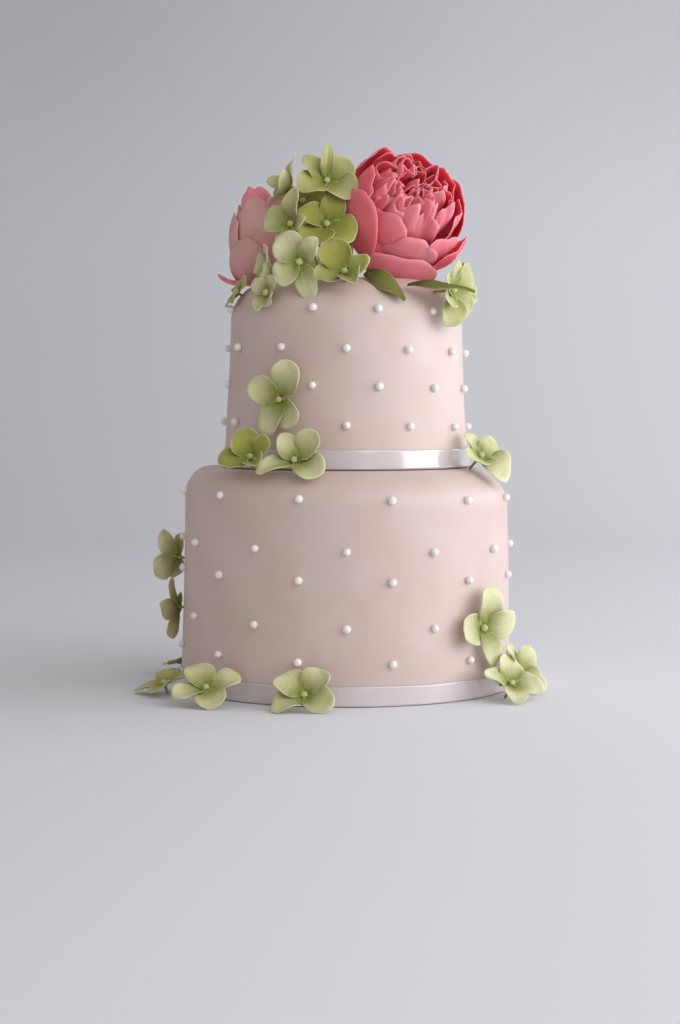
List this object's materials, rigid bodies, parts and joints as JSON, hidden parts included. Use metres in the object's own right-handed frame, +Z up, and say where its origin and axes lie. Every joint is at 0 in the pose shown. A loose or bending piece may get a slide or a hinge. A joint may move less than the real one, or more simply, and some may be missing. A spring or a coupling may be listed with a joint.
{
  "type": "wedding cake",
  "caption": "Two-tier round wedding cake in rolled icing with pearl studs, satin ribbons, sugar peonies and green hydrangea blossoms.",
  "frame": {"origin": "centre of the underside of the bottom tier, at the level that the cake rests on", "axes": "+Z up through both tiers, -Y towards the front where the flowers are densest, +X to the viewer's right"},
  "size_m": [0.2547, 0.2531, 0.334],
  "materials": {
    "icing": "matt rolled sugar icing, dusty pink, with ivory pearls",
    "satin": "white satin ribbon with a soft sheen",
    "coral_sugar": "matt sugar paste, coral red to pink, paler at the frilled edges",
    "pink_sugar": "matt sugar paste, pale pink",
    "green_sugar": "matt sugar paste, light green with cream edges",
    "leaf_sugar": "matt sugar paste, olive green"
  },
  "bodies": {
    "root": {"tier_bottom": "icing", "tier_top": "icing", "ribbon_bottom": "satin", "ribbon_top": "satin", "peony_large": "coral_sugar", "peony_pale": "pink_sugar", "leaf_front": "leaf_sugar", "leaf_right": "leaf_sugar", "leaf_back": "leaf_sugar", "blossom_crown": "green_sugar", "blossom_crown_left": "green_sugar", "blossom_crown_back": "green_sugar", "blossom_upper_right": "green_sugar", "blossom_upper_left": "green_sugar", "blossom_front_left": "green_sugar", "blossom_front_right": "green_sugar", "blossom_side_left": "green_sugar", "blossom_rim_left": "green_sugar", "blossom_rim_far_left": "green_sugar", "blossom_rim_right": "green_sugar", "blossom_rim_far_right": "green_sugar", "blossom_back": "green_sugar", "blossom_back_low": "green_sugar", "blossom_top_side": "green_sugar", "blossom_top_right": "green_sugar", "blossom_ledge_left": "green_sugar", "blossom_ledge_front": "green_sugar", "blossom_ledge_right": "green_sugar", "blossom_ledge_back": "green_sugar", "blossom_side_upper": "green_sugar", "blossom_side_lower": "green_sugar", "blossom_side_right": "green_sugar", "blossom_foot_right_back": "green_sugar", "blossom_foot_right": "green_sugar", "blossom_foot_front": "green_sugar", "blossom_foot_left": "green_sugar", "blossom_foot_far_left": "green_sugar", "blossom_foot_back_left": "green_sugar", "blossom_foot_back": "green_sugar"}
  },
  "joints": []
}
